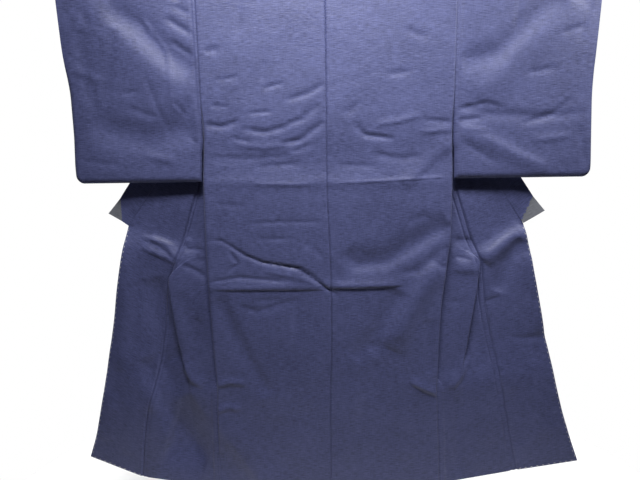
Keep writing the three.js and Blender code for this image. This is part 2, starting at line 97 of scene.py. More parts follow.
# Creases. Each has its height, its half width above and below the line (on a line that falls steeply, to
# its right and left), and the line's points, x and drop. A height below zero stands out to the back.
backCreases = [
    # the large ones of the solids
    (-1.7, 16, 14, (-330, 493), (320, 499)), (-2.6, 16, 8, (-330, 763), (200, 758)),
    (9, 34, 22, (305, 600), (208, 662), (145, 700), (76, 705), (43, 669)),
    (3.6, 60, 40, (-330, 440), (-160, 448), (330, 436)), (-9, 26, 30, (284, 709), (222, 800), (158, 933)),
    (5.5, 26, 22, (183, 774), (132, 880), (67, 961)),
    (5.5, 18, 26, (-290, 785), (-245, 890), (-205, 980), (-165, 1060)),
    # lines pressed in while it lay folded
    (-1.7, 6, 2.6, (-191, 498), (-105, 501), (-31, 502)),
    (-1.3, 5, 2.4, (7, 499), (150, 494), (306, 486)), (-2.3, 9, 1.6, (-314, 771), (-150, 770), (-6, 771)),
    (-3.6, 13, 1.6, (4, 767), (100, 764), (190, 760)), (1.5, 2.6, 7, (-212, 596), (-110, 593), (-7, 594)),
    (1.4, 2.6, 6, (-187, 638), (-92, 636)),
    # left half from the top
    (2.4, 8, 8, (-300, 172), (-262, 166)), (2.6, 6, 8, (-102, 292), (-50, 278), (-2, 253)),
    (3.6, 5, 9, (-308, 345), (-262, 352), (-216, 338)), (3.2, 6, 9, (-216, 358), (-154, 368), (-91, 353)),
    (3.8, 5, 9, (-120, 398), (-67, 388), (-4, 342)), (3, 5, 8, (-105, 352), (-60, 338), (-20, 300)),
    (1.8, 4, 6, (-290, 300), (-240, 306)), (2, 4, 6, (-200, 322), (-130, 318)),
    (1.8, 4, 6, (-240, 380), (-190, 392)), (2, 4, 7, (-160, 262), (-104, 250)),
    (1.6, 4, 6, (-270, 240), (-215, 232)), (2, 4, 6, (-90, 420), (-36, 398)),
    (1.7, 7, 12, (-295, 428), (-190, 434), (-93, 427)),
    (-1.8, 9, 6, (-230, 400), (-150, 408), (-90, 396)), (1.4, 10, 10, (-206, 20), (-214, 150)),
    (1.2, 8, 8, (-150, 195), (-158, 250)), (1.5, 5, 9, (-180, 452), (-60, 446)),
    (1.3, 5, 8, (-290, 545), (-210, 552)),
    (4.4, 3, 5, (-312, 640), (-273, 641), (-215, 679), (-171, 698), (-73, 715), (-4, 768), (26, 784)),
    (2.4, 3, 5, (-120, 706), (-73, 715), (-4, 768), (30, 792)),
    (2.8, 3.4, 7, (-255, 668), (-232, 700), (-262, 722)),
    (2.6, 3.2, 6, (-317, 750), (-231, 737), (-98, 750)), (-2, 9, 4, (-170, 722), (-90, 738), (-30, 756)),
    (1.6, 4, 8, (-60, 640), (-10, 690)), (2.2, 6, 13, (-250, 808), (-190, 828), (-75, 794)),
    (1.6, 5, 10, (-190, 800), (-120, 796)), (-4.6, 11, 6, (-310, 1036), (-267, 1023), (-222, 1028)),
    (-4.2, 11, 6, (-312, 1107), (-275, 1094), (-238, 1098)),
    (-5, 46, 20, (-330, 1110), (-268, 1188), (-189, 1304), (-160, 1350)),
    (5, 60, 26, (-330, 1245), (-285, 1290), (-240, 1340)),
    (-2.4, 26, 26, (-255, 800), (-215, 980), (-180, 1090)), (1.4, 8, 8, (-84, 780), (-90, 945)),
    (-1.6, 26, 26, (-90, 860), (-60, 1100)), (1.5, 30, 30, (-150, 1120), (-120, 1290)),
    # right half
    (2.2, 6, 9, (46, 331), (83, 296)), (3.6, 4, 9, (71, 344), (95, 378), (169, 389)),
    (-2.2, 9, 4, (120, 357), (180, 350), (234, 334)), (-2.2, 8, 4, (230, 377), (308, 372)),
    (2.2, 5, 8, (236, 345), (312, 352)), (1.7, 6, 10, (150, 234), (210, 230)),
    (1.5, 8, 8, (190, 130), (250, 155)), (2, 6, 11, (110, 425), (190, 438), (240, 430)),
    (-3, 24, 12, (314, 398), (262, 440), (190, 508)), (1.4, 5, 9, (30, 452), (130, 456)),
    (3, 14, 10, (301, 658), (234, 722), (170, 734)), (1.6, 10, 10, (255, 580), (200, 600)),
    (-5, 14, 4, (210, 1020), (256, 1043), (288, 1058)), (2.6, 14, 14, (258, 850), (262, 1000)),
    (1.8, 24, 24, (120, 960), (70, 1180)), (-1.8, 26, 26, (215, 1000), (190, 1240)),
    (1.6, 10, 16, (70, 690), (28, 760)), (-1.4, 24, 24, (70, 1020), (30, 1240)),
    (2, 12, 16, (100, 930), (190, 905)),
]
apronCreases = [
    # the large ones of the solids
    (9, 20, 46, (-462, 740), (-438, 860), (-415, 985), (-385, 1060)),
    (9, 60, 26, (-500, 960), (-472, 1040), (-436, 1118), (-380, 1200), (-285, 1290)),
    (-5, 46, 20, (-421, 968), (-387, 1032), (-338, 1108), (-268, 1188)),
    (18, 130, 60, (-450, 1190), (-330, 1230)), (-5, 22, 5, (-398, 985), (-374, 1022), (-340, 1040)),
    (-6, 26, 26, (-548, 640), (-556, 850), (-575, 1000)), (-2.5, 18, 18, (-461, 956), (-492, 1114)),
    (6, 22, 22, (495, 645), (463, 712), (438, 785)), (3, 24, 24, (520, 760), (590, 1150)),
    # where the left front bends at the height of the collar ends
    (11.5, 80, 36, (-640, 570), (-527, 603), (-454, 621), (-415, 634), (-381, 646), (-330, 655)),
    (-4.2, 12, 3, (-478, 636), (-429, 662), (-397, 701)),
    (-4, 10, 3.4, (-493, 664), (-444, 684), (-400, 708)),
    (-2.8, 7, 3, (-500, 634), (-441, 648), (-405, 664)),
    (2.6, 3.6, 6, (-381, 650), (-374, 666), (-323, 668)),
    (3, 3.6, 10, (-392, 703), (-360, 716), (-326, 735)),
    (5, 12, 12, (-322, 500), (-348, 580), (-370, 645)), (2, 4, 7, (-350, 690), (-322, 700)),
    (-3, 8, 16, (-462, 950), (-478, 1040), (-492, 1114)),
    (3, 14, 20, (-448, 960), (-430, 1050), (-440, 1180)), (2, 20, 20, (-400, 780), (-350, 930)),
    (-3, 16, 16, (-330, 740), (-345, 860)), (-2, 20, 20, (-600, 1060), (-625, 1200)),
    (2, 20, 20, (-575, 900), (-600, 1100)), (-2, 18, 18, (-540, 1080), (-560, 1240)),
    # the right one
    (9.5, 80, 22, (600, 570), (497, 607), (450, 623), (408, 649), (360, 672), (325, 690)),
    (-7, 20, 20, (500, 616), (455, 655), (403, 708)), (1.8, 3.2, 3.2, (405, 676), (448, 640), (470, 626)),
    (3, 8, 13, (312, 648), (378, 652)), (-2.6, 18, 8, (318, 722), (392, 730)),
    (2, 4, 7, (322, 690), (372, 700)), (1.6, 5, 8, (312, 812), (352, 806)),
    (2.4, 16, 16, (333, 1053), (338, 1282)), (-2, 18, 18, (400, 980), (425, 1200)),
    (2.2, 4, 9, (405, 812), (445, 796)), (-6, 26, 26, (522, 680), (552, 900)),
    (1.6, 5, 9, (470, 905), (580, 912)), (-1.8, 14, 14, (540, 960), (566, 1180)),
    (-5, 22, 5, (300, 1036), (326, 1034), (350, 1002), (368, 960)),
    (1.6, 18, 18, (480, 1040), (505, 1200)),
]
sleeveCreases = [
    # the large ones of the solids
    (-7, 38, 80, (-600, 40), (-510, 138), (-412, 226), (-335, 290)),
    (6.4, 26, 34, (-540, 62), (-455, 106), (-396, 168), (-325, 212)),
    (7.5, 38, 40, (-602, 322), (-540, 360), (-447, 384), (-394, 366), (-320, 352)),
    (7, 24, 30, (560, 62), (488, 122), (419, 186), (322, 212)),
    (-5, 32, 40, (600, 66), (467, 190), (375, 306)),
    (2.6, 10, 16, (315, 312), (400, 334), (520, 342), (636, 335)),
    # left sleeve
    (2.6, 16, 16, (-606, 113), (-602, 230), (-579, 318)),
    (2.2, 13, 13, (-518, 115), (-545, 215), (-560, 300)),
    (-2.4, 4, 3.4, (-463, 79), (-435, 108), (-394, 166), (-386, 204), (-385, 296), (-347, 341)),
    (-2.4, 4, 3.4, (-447, 84), (-427, 138)), (1.9, 5, 5, (-452, 215), (-425, 300), (-398, 372)),
    (1.7, 4, 6, (-385, 284), (-348, 332)), (3, 5, 10, (-420, 4), (-380, 30), (-346, 52)),
    (3, 5, 10, (-392, 86), (-360, 108), (-320, 132)), (3, 5, 9, (-386, 140), (-318, 186)),
    (1.8, 5, 9, (-372, 60), (-326, 84)), (1.6, 5, 8, (-512, 268), (-470, 262)),
    (1.8, 6, 10, (-500, 300), (-420, 330)), (-1.8, 12, 9, (-638, 205), (-560, 240)),
    (1.4, 6, 9, (-630, 430), (-520, 446)), (-2.2, 12, 9, (-470, 420), (-380, 440)),
    (1.6, 6, 10, (-600, 60), (-575, 110)), (1.4, 4, 6, (-352, 372), (-318, 400)),
    # right sleeve
    (1.9, 5, 5, (466, 46), (456, 140)), (1.9, 5, 5, (634, 64), (604, 170)),
    (2.4, 6, 9, (600, 296), (552, 336), (470, 362)), (2.6, 4, 9, (316, 322), (392, 306), (440, 322)),
    (2.8, 4, 9, (314, 348), (384, 342)), (-4, 14, 22, (322, 372), (400, 398), (470, 436), (548, 470)),
    (-2, 9, 6, (330, 366), (400, 376)), (1.8, 8, 8, (336, 400), (420, 455)),
    (1.8, 8, 8, (612, 360), (640, 470)), (1.8, 6, 9, (480, 240), (560, 226)),
    (1.5, 6, 9, (350, 60), (420, 40)), (-2, 10, 8, (500, 400), (600, 390)),
    (1.5, 6, 9, (560, 150), (622, 130)),
]
# the hidden faces carry like creases of their own
innerCreases = [
    (3.5, 14, 24, (-560, 80), (-470, 130), (-360, 230)),
    (-4, 26, 30, (-600, 120), (-470, 230), (-380, 330)),
    (2.6, 7, 12, (-600, 300), (-500, 352), (-400, 340)), (2.2, 5, 9, (-420, 60), (-330, 110)),
    (2, 5, 9, (-400, 130), (-326, 180)), (3.5, 14, 24, (560, 90), (460, 150), (350, 220)),
    (-4, 26, 30, (600, 130), (480, 220), (370, 320)), (2.6, 7, 12, (610, 310), (500, 344), (390, 330)),
    (2.2, 5, 9, (430, 50), (330, 100)), (-2, 4, 4, (430, 120), (400, 280)),
]

curves = {}


def readTable(table, v, column=1, reach=26):
    # a table's value at v, with the corners between its rows rounded over the reach
    key = (id(table), column)
    if key not in curves:
        at = np.array([row[0] for row in table], float)
        fine = np.arange(at[0], at[-1] + 1)
        line = np.interp(fine, at, [row[column] for row in table])
        ends = (2 * line[0] - line[reach:0:-1], line, 2 * line[-1] - line[-2:-reach - 2:-1])
        weights = np.hanning(2 * reach + 3)[1:-1]
        curves[key] = (fine, np.convolve(np.concatenate(ends), weights / weights.sum(), "valid"))
    return float(np.interp(v, *curves[key]))


def lerp(a, b, t):
    return a + (b - a) * t


def smoothStep(low, high, value):
    t = np.clip((value - low) / (high - low), 0, 1)
    return t * t * (3 - 2 * t)


def dropOf(v):
    down = abs(v)
    return shoulder * (1 - math.cos(down / shoulder)) if down < quarterArc else down - arcLift


narrowCrease = 12      # a crease with a smaller half width fades along more of its length


def relief(creases, x, drop):
    # soft troughs and ridges that fade towards their ends
    total = np.zeros(np.shape(x))
    for height, above, below, *path in creases:
        steps = [math.dist(p, q) for p, q in zip(path, path[1:])]
        nearest = np.full(np.shape(x), 1e9)
        side, place = np.zeros(np.shape(x)), np.zeros(np.shape(x))
        passed = 0
        for (x1, d1), (x2, d2), length in zip(path, path[1:], steps):
            ux, ud = (x2 - x1) / length, (d2 - d1) / length
            t = np.clip((x - x1) * ux + (drop - d1) * ud, 0, length)
            away = np.hypot(x - x1 - t * ux, drop - d1 - t * ud)
            cross = ((drop - d1) * ux - (x - x1) * ud) * (-1 if x2 < x1 else 1)
            closer = away < nearest
            nearest = np.where(closer, away, nearest)
            side = np.where(closer, cross, side)
            place = np.where(closer, (passed + t) / sum(steps), place)
            passed += length
        width = lerp(above, below, smoothStep(-2, 2, side))
        fade = 1 - np.abs(2 * place - 1) ** (4 if min(above, below) < narrowCrease else 8)
        total += height * fade * np.exp(-(nearest / width) ** 2)
    return total


# the waves of worn hand-woven silk: height, length across, length down, layer; then each sheet's own layer
waves = [(0.9, 95, 120, 0), (0.28, 26, 34, 9)]
waveLayers = {"back": 1.7, "front": 3.3, "sleeveBack": 5.1, "sleeveFront": 7.7}


def ripple(x, drop, sheet):
    start = waveLayers[sheet]
    return np.array([sum(height * noise.noise(Vector((a / across, b / down, start + layer)))
                         for height, across, down, layer in waves)
                     for a, b in zip(np.ravel(x), np.ravel(drop))])


# how deep and wide the cloth sinks beside each kind of seam
grooves = {"overlap": (3.2, 2.8), "openSide": (1.8, 2), "sleeve": (2.2, 2.2), "sleeveLine": (1.6, 3),
           "centre": (3, 1.7)}


def groove(kind, away):
    depth, width = grooves[kind]
    return depth * np.exp(-(away / width) ** 2)


# a seam turning: how far it goes under the next piece, and how far inwards
turning = np.array([(0.1, 0.5), (0.5, 1.2), (1.6, 1.75), (4, 1.85), (7, 1.9)])


def line(xa, ya, xb, yb, count, bunch=1):
    t = 1 - (1 - np.arange(1, count + 1) / count) ** bunch
    return np.stack((lerp(xa, xb, t), lerp(ya, yb, t)), 1)


def turn(xa, ya, xb, yb, bulge, count):
    # a half turn of the cloth round a fold
    t = np.arange(1, count + 1) / count
    x = lerp(xa, xb, t) + bulge * np.sin(np.pi * t)
    return np.stack((x, lerp(ya, yb, (1 - np.cos(np.pi * t)) / 2)), 1)


def linePoint(half, v):
    t = max(v - quarterArc, 0) / (collarEnd - quarterArc)
    return lerp(garment["neckHalf"], half["lineEnd"][0], t), lerp(shoulder, half["lineEnd"][1], t)


def joinPoint(half, v):
    # where the overlap seam passes
    top = garment["overlapTop"]
    if v <= top:
        return linePoint(half, v)
    if v >= collarEnd:
        return readTable(half["apron"], v, 1), readTable(half["apron"], v, 2)
    start, t = linePoint(half, top), (v - top) / (collarEnd - top)
    return lerp(start[0], half["apron"][0][1], t), lerp(start[1], half["apron"][0][2], t)


def edgePoint(half, v):
    if v <= collarEnd:
        return linePoint(half, v)
    return readTable(half["apron"], v, 3), readTable(half["apron"], v, 4)


def sideDrop(half, v):
    if v < collarEnd:
        return dropOf(v)
    return lerp(dropOf(collarEnd), half["hemDrop"], (v - collarEnd) / (bodyLength - collarEnd))


def sewnShare(v):
    # 0 where the sleeve is sewn on, 1 where the side seam is
    return smoothStep(garment["closing"], garment["armhole"], v)


def freeOfRod(v):
    return smoothStep(quarterArc, garment["clearOfRod"], v)


# how a front row folds. firstShut and secondShut: the overlap at which a fold is closed. sideGap: how far a
# panel keeps from the side seam. seamEase: how far both draw in between the sleeve seam and the side seam.
folding = {"firstShut": 9, "secondShut": 12, "sideGap": 0.45, "seamEase": 0.85, "widestTurn": 5,
           "leastTurn": 0.4, "leastBend": 3.5, "widestBend": 6}
# columns of each stretch of a front row, from the side seam to the overlap seam
frontCounts = {"start": 4, "leg1": 6, "turn1": 8, "leg2": 36, "turn2": 7, "leg3": 3, "turn3": 7, "leg4": 24}
edgeShare = 0.3            # how far the overlap seam lies from the fourth layer towards the front edge's y
frontRipple = 0.7


def frontRow(half, v):
    # a front panel from the side seam to the overlap seam, folded twice behind the back
    side, (joinX, joinDrop) = readTable(half["side"], v), joinPoint(half, v)
    drop, a1, a2 = sideDrop(half, v), readTable(foldDepth, v, 1), readTable(foldDepth, v, 2)
    y0, y1, y2, y4, yEdge = (readTable(layers, v, c) for c in range(1, 6))
    shut1, shut2 = smoothStep(0, folding["firstShut"], a1), smoothStep(0, folding["secondShut"], a2)
    sewn, gap = sewnShare(v), folding["sideGap"]
    turn1, turn2 = min((y2 - y1) / 2, folding["widestTurn"]), max((y4 - y2) / 4, folding["leastTurn"])
    bend = min(max((y1 - y0) * 0.8 * sewn, folding["leastBend"]), folding["widestBend"])
    drawn = folding["seamEase"] * sewn * (1 - sewn)
    start = side + lerp(-seamGap / 2, gap, sewn) * (1 - shut1 * sewn) - drawn
    inner = side - a1
    # where a fold is open its columns lie just beyond the side seam
    legStart = lerp(side + 6, side - bend - 0.5, shut1)
    legEnd, outStart = lerp(side + 12, inner + turn1, shut1), lerp(side + 20, inner + turn1, shut1)
    span = joinX - outStart
    unit = min(max(span, 4) / 40, 1)
    second = lerp(outStart + span * 0.6, readTable(half["secondFold"], v), smoothStep(663, 740, v))
    fold = min(second, joinX + 4)
    outEnd, thirdStart = lerp(fold - 3 * unit, fold - turn2, shut2), lerp(fold, fold - turn2, shut2)
    thirdEnd = lerp(fold + 3 * unit, fold - a2 + turn2, shut2)
    fourthStart = lerp(fold + 6 * unit, fold - a2 + turn2, shut2)
    y3, rise1, rise3, yStart = (y2 + y4) / 2, 0.16 * (y1 - y0), 0.12 * (y4 - y2), y0 + gap * shut1 * sewn
    count = frontCounts
    t = np.arange(count["start"] + 1) / count["start"]
    straight = start + (legStart - start) * t
    curl = lerp(straight, start - (start - legStart) * (1 - np.cos(np.pi / 2 * t)), shut1)
    joined = joinX - seamGap / 2 * (v >= garment["overlapTop"])
    flat = np.concatenate([
        np.stack((curl, lerp(yStart, y1 - rise1, np.sin(np.pi / 2 * t))), 1),
        line(legStart, y1 - rise1, legEnd, y1 + rise1, count["leg1"]),
        turn(legEnd, y1 + rise1, outStart, y2, -turn1 * shut1, count["turn1"]),
        line(outStart, y2, outEnd, y2, count["leg2"]),
        turn(outEnd, y2, thirdStart, y3 - rise3, turn2 * shut2, count["turn2"]),
        line(thirdStart, y3 - rise3, thirdEnd, y3 + rise3, count["leg3"]),
        turn(thirdEnd, y3 + rise3, fourthStart, y4, -turn2 * shut2, count["turn3"]),
        line(fourthStart, y4, joined, lerp(y4, yEdge, edgeShare), count["leg4"], 1.6)])
    # turnings under the back panel, where the fold is open, and under the overlap panel
    under = turning[::-1] * (1 - shut1) * sewn
    beyond = turning * float(smoothStep(265, 330, v))
    flat = np.concatenate([flat[0] + under * (-1, 1), flat, flat[-1] + beyond])
    x, y = flat[:, 0], flat[:, 1]
    outer = np.arange(len(x)) > len(turning) + count["start"] + count["leg1"] + count["turn1"]
    across = outer * np.clip((x - outStart) / max(joinX - outStart, 1), 0, 1)
    d = lerp(drop, joinDrop, across)
    # creases only where the cloth shows beside the back panel
    free = np.where(outer, 1, 1 - shut1)
    shown = free * smoothStep(side - 5, side + lerp(30, 75, smoothStep(1000, 1110, v)), x)
    wave = relief(apronCreases, half["sign"] * x, d) * shown
    wave = wave + frontRipple * ripple(half["sign"] * x, d, "front") * shown
    # the cloth rolls down into the seam, and the turnings below show as a second line beside it
    away = np.abs(joinX - x) + 1000 * (1 - outer)
    apart, depth = half["seamLine"]
    turned = np.exp(-((away - apart) / 2.6) ** 2) + 0.5 * np.exp(-((away - apart / 2) / 6) ** 2)
    wave = wave + (groove("overlap", away) + depth * turned) * smoothStep(300, 420, v)
    wave = wave + (1 - shut1) * sewn * groove("openSide", np.maximum(x - start, 0))
    return np.stack((half["sign"] * x, y + wave, shoulder - d), 1)


def lipRow(half, v):
    # below the neck the opened front turns over, more and more down to the fold behind the back
    at, lengths, angles = np.array(lipTable, float).T
    length, angle = np.interp(v, at, lengths), math.radians(np.interp(v, at, angles))
    side, (edgeX, edgeDrop) = readTable(half["side"], v) - seamGap / 2, linePoint(half, v)
    count = frontCounts
    curved = min(9, length * 0.8)
    first = count["start"] + count["leg1"]
    rest = count["leg2"] + count["turn2"] + count["leg3"] + count["turn3"] + count["leg4"]
    bends = angle * (np.arange(count["turn1"]) + 0.5) / count["turn1"]
    sizes = np.concatenate((np.full(count["turn1"], curved / count["turn1"]),
                            np.full(rest, (length - curved) / rest)))
    bends = np.concatenate((bends, np.full(rest, angle)))
    px = np.concatenate(([0], np.cumsum(-sizes * np.cos(bends))))
    py = np.concatenate(([0], np.cumsum(sizes * np.sin(bends))))
    foldStart = edgeX - px[-1]
    x = np.concatenate((np.linspace(side, foldStart, first + 1)[:-1], foldStart + px))
    y = np.concatenate((np.full(first, shoulder), shoulder + py))
    d = np.concatenate((np.full(first, dropOf(v)), np.linspace(dropOf(v), edgeDrop, len(px))))
    return np.pad(np.stack((half["sign"] * x, y, shoulder - d), 1), ((len(turning),) * 2, (0, 0)), "edge")


# columns of a back panel: their x across the neck, and how many lie beyond it and in the side bend
neckColumns = np.array([0, 1.2, 2.6, 4.5, 7, 11, 16, 22, 29, 37, 46, 55, 64, 73, 82, 90])
sideColumns = 50
bendColumns = 6
centreHem = 1318           # drop of the hem at the centre seam


def backRow(half, v):
    # a back panel from the centre seam to the side seam
    side, drop = readTable(half["side"], v), sideDrop(half, v)
    a1, y0 = readTable(foldDepth, v, 1), readTable(layers, v, 1)
    shut, sewn, gap = smoothStep(0, folding["firstShut"], a1), sewnShare(v), folding["sideGap"]
    edgeY, bend = lerp(backPlane, y0 - gap * shut, sewn), 4 * sewn * shut + 5
    end = side - lerp(seamGap / 2, gap, sewn) * (1 - shut * sewn) - folding["seamEase"] * sewn * (1 - sewn)
    # the centre seam wanders a little between the armholes and the hem
    wander = lerp(-1, 6, smoothStep(500, 770, v)) * smoothStep(300, 400, v) * (1 - smoothStep(900, 1100, v))
    inner = lerp(half["sign"] * wander + seamGap / 2, neckColumns[-1], neckColumns / neckColumns[-1])
    beyond = lerp(neckColumns[-1], end - bend, np.arange(1, sideColumns + 1) / sideColumns)
    x = np.concatenate((inner, beyond))
    low = smoothStep(collarEnd, bodyLength, v)
    centreDrop = centreHem * v / bodyLength
    hang = lerp(drop, lerp(centreDrop, drop, (x / side) ** 2), low)
    wave = relief(backCreases, half["sign"] * x, hang) + ripple(half["sign"] * x, hang, "back")
    clear = lerp(0.3, 1, freeOfRod(v))      # less depth where the rod is close
    wave = wave * freeOfRod(v) + clear ** 2 * groove("centre", x - inner[0])
    y = backPlane + wave
    share = np.arange(1, bendColumns + 1) / bendColumns
    a = np.pi / 2 * share
    bent = end - bend + bend * lerp(share, np.sin(a), shut * sewn)
    bentY = lerp(backPlane, edgeY, 1 - np.cos(a)) + wave[-1] * np.cos(a)
    # the sleeve seam pulls the panel's edge in, and so does the open side seam
    bentY = bentY + (1 - sewn) * groove("sleeve", end - bent) * freeOfRod(v)
    bentY = bentY + (1 - shut) * sewn * groove("openSide", end - bent)
    x, y = np.concatenate((x, bent)), np.concatenate((y, bentY))
    hang = np.concatenate((hang, np.full(bendColumns, drop)))
    if half["sign"] < 0:       # the left panel's turning lies behind the right one
        x = np.concatenate((x[0] - turning[::-1, 0], x))
        y = np.concatenate((y[0] + turning[::-1, 1] * lerp(0.6, 1, clear), y))
        hang = np.concatenate((np.full(len(turning), hang[0]), hang))
    return np.stack((half["sign"] * x, y, shoulder - hang), 1)


def overRod(x, v, inset=0):
    radius = shoulder - inset + 0 * x
    return np.stack((x, radius * math.sin(v / shoulder), radius * math.cos(v / shoulder)), 1)


def newSurface():
    return {"points": [], "faces": [], "places": [], "last": None}


def addRow(surface, row, v, zipped=False):
    # joins a row of points to the one before, column by column, or the short way where the columns differ
    start = sum(len(r) for r in surface["points"])
    widths = np.linalg.norm(np.diff(row, axis=0), axis=1)
    surface["points"].append(row)
    surface["places"].append(np.stack((np.concatenate(([0], np.cumsum(widths))), np.full(len(row), v)), 1))
    faces = surface["faces"]
    if surface["last"] is not None:
        first, before = surface["last"]
        if zipped:
            i, j = 0, 0
            while i < len(before) - 1 or j < len(row) - 1:
                upper = np.linalg.norm(before[i + 1] - row[j]) if i < len(before) - 1 else 1e9
                lower = np.linalg.norm(row[j + 1] - before[i]) if j < len(row) - 1 else 1e9
                if upper <= lower:
                    faces.append((first + i, start + j, first + i + 1))
                    i += 1
                else:
                    faces.append((first + i, start + j, start + j + 1))
                    j += 1
        else:
            for k in range(min(len(before), len(row)) - 1):
                faces.append((first + k, start + k, start + k + 1, first + k + 1))
    surface["last"] = (start, row)


def makeCloth(name, surface, wall, node, material):
    # a sheet from its middle surface, with its wall from Solidify and the cloth's own lengths as its UV map
    mesh = bpy.data.meshes.new(name)
    points = np.concatenate(surface["points"]) * mm
    mesh.from_pydata(points.tolist(), [], surface["faces"])
    # each sheet has its own stretch of the bolt
    places = np.concatenate(surface["places"]) * mm + (1.7 * len(bpy.data.meshes), 0)
    uv = mesh.uv_layers.new(name="clothPlace")
    corners = np.zeros(len(mesh.loops), int)
    mesh.loops.foreach_get("vertex_index", corners)
    uv.data.foreach_set("uv", places[corners].ravel())
    piece = bpy.data.objects.new(name, mesh)
    bpy.context.scene.collection.objects.link(piece)
    bpy.ops.object.select_all(action="DESELECT")
    piece.select_set(True)
    bpy.context.view_layer.objects.active = piece
    bpy.ops.object.mode_set(mode="EDIT")
    bpy.ops.mesh.select_all(action="SELECT")
    bpy.ops.mesh.remove_doubles(threshold=0.02 * mm)
    bpy.ops.object.mode_set(mode="OBJECT")
    shell = piece.modifiers.new("wall", "SOLIDIFY")
    shell.thickness = wall * mm
    shell.offset = 0
    bpy.ops.object.modifier_apply(modifier=shell.name)
    bpy.ops.object.shade_smooth_by_angle(angle=math.radians(48))
    mesh.materials.append(material)
    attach(piece, "root")
    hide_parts(node)
    return piece


def stations(start, end, extra=(), size=garment["rowStep"]):
    count = max(2, round((end - start) / size))
    return sorted(set(np.linspace(start, end, count + 1).round(2).tolist()) | {float(e) for e in extra})


def hexColour(code):
    # an sRGB hex value as the linear colour that the shader takes
    parts = [int(code[i:i + 2], 16) / 255 for i in (1, 3, 5)]
    return [c / 12.92 if c <= 0.04045 else ((c + 0.055) / 1.055) ** 2.4 for c in parts] + [1]


def addNode(tree, kind, inputs=None, links=None, **settings):
    node = tree.nodes.new("ShaderNode" + kind)
    for key, value in settings.items():
        setattr(node, key, value)
    for key, value in (inputs or {}).items():
        node.inputs[key].default_value = value
    for key, socket in (links or {}).items():
        tree.links.new(socket, node.inputs[key])
    return node


def newMaterial(name, uniform):
    material = bpy.data.materials.new(name)
    material.use_nodes = True
    tree = material.node_tree
    tree.nodes.clear()
    shader = addNode(tree, "BsdfPrincipled", uniform)
    addNode(tree, "OutputMaterial", links={"Surface": shader.outputs["BSDF"]})
    return material, tree, shader


def addNoise(tree, place, size, inputs):
    # noise with lumps of a given length across and length down, in millimetres
    scale = (1000 / size[0], 1000 / size[1], 1000 / size[1])
    scaled = addNode(tree, "Mapping", {"Scale": scale}, {"Vector": place})
    lumps = addNode(tree, "TexNoise", {"Scale": 1, **inputs}, {"Vector": scaled.outputs[0]})
    return lumps.outputs["Fac"]


def addMix(tree, factor, a, b):
    mixed = addNode(tree, "Mix", {"Factor": factor}, {"A": a, "B": b}, data_type="FLOAT")
    return mixed.outputs[0]


def addRamp(tree, value, colours, stops=(0, 1)):
    ramp = addNode(tree, "ValToRGB", links={"Fac": value})
    for element, colour, stop in zip(ramp.color_ramp.elements, colours, stops):
        element.position = stop
        element.color = hexColour(colour)
    return ramp.outputs["Color"]


# Hand-spun silk (tsumugi), plain woven: uneven weft threads lie as fine slubs across the cloth and give it
# a soft, slightly dry sheen, and it holds a web of small worn-in wrinkles. A thread is 0.5 mm; it is drawn
# about 2 mm thick, the finest that shows. Sizes are a length across and a length down.
silk = {
    # the two lighter greys for the collar tips are a painted highlight, standing for the light the bent-up
    # tips catch
    "dark": "#2a2e50", "light": "#4b507a", "tipHighlightDark": "#4b4d54", "tipHighlightLight": "#5c5e65",
    "slub": (17, 1.8), "warp": (2.4, 24), "mottle": (22, 22), "cloud": (130, 130), "wrinkle": (34, 19),
    "wrinklePatch": (170, 170), "warpShare": 0.2, "cloudShare": 0.5, "wornShare": 0.28,
    "toneStops": (0.37, 0.63), "wrinkleDepth": 1.3, "bump": 0.6, "bumpDepth": 0.9,
    "roughness": 0.55, "specular": 0.36, "sheen": 0.12, "sheenRoughness": 0.5, "sheenTint": "#d4d6e4",
}


def silkMaterial(name, dark, light):
    material, tree, shader = newMaterial(name, {
        "Roughness": silk["roughness"], "Specular IOR Level": silk["specular"],
        "Sheen Weight": silk["sheen"], "Sheen Roughness": silk["sheenRoughness"],
        "Sheen Tint": hexColour(silk["sheenTint"])})
    place = addNode(tree, "UVMap", uv_map="clothPlace").outputs["UV"]
    slub = addNoise(tree, place, silk["slub"], {"Detail": 3, "Roughness": 0.6})
    warp = addNoise(tree, place, silk["warp"], {"Detail": 2})
    mottle = addNoise(tree, place, silk["mottle"], {"Detail": 4, "Roughness": 0.6})
    cloud = addNoise(tree, place, silk["cloud"], {"Detail": 3})
    weave = addMix(tree, silk["warpShare"], slub, warp)
    worn = addMix(tree, silk["cloudShare"], mottle, cloud)
    tone = addMix(tree, silk["wornShare"], weave, worn)
    # small wrinkles, drawn out across the cloth and in patches
    web = addNoise(tree, place, silk["wrinkle"], {"Detail": 2.2, "Distortion": 0.5})
    patch = addNoise(tree, place, silk["wrinklePatch"], {"Detail": 1})
    where = addNode(tree, "MapRange", {"From Min": 0.4, "From Max": 0.65, "To Min": 0.25},
                    {"Value": patch})
    wrinkles = addNode(tree, "Math", links={0: web, 1: where.outputs[0]}, operation="MULTIPLY")
    creased = addNode(tree, "Bump", {"Strength": 1, "Distance": silk["wrinkleDepth"] * mm},
                      {"Height": wrinkles.outputs[0]})
    bump = addNode(tree, "Bump", {"Strength": silk["bump"], "Distance": silk["bumpDepth"] * mm},
                   {"Height": weave, "Normal": creased.outputs["Normal"]})
    tree.links.new(addRamp(tree, tone, (dark, light), silk["toneStops"]), shader.inputs["Base Color"])
    tree.links.new(bump.outputs["Normal"], shader.inputs["Normal"])
    return material


silkCloth = silkMaterial("silk tsumugi", silk["dark"], silk["light"])
# a lighter grey copy of the silk: painted highlight on the bent-up collar tips
tipHighlightCloth = silkMaterial("silk collar tips painted highlight", silk["tipHighlightDark"], silk["tipHighlightLight"])
print("materials made")


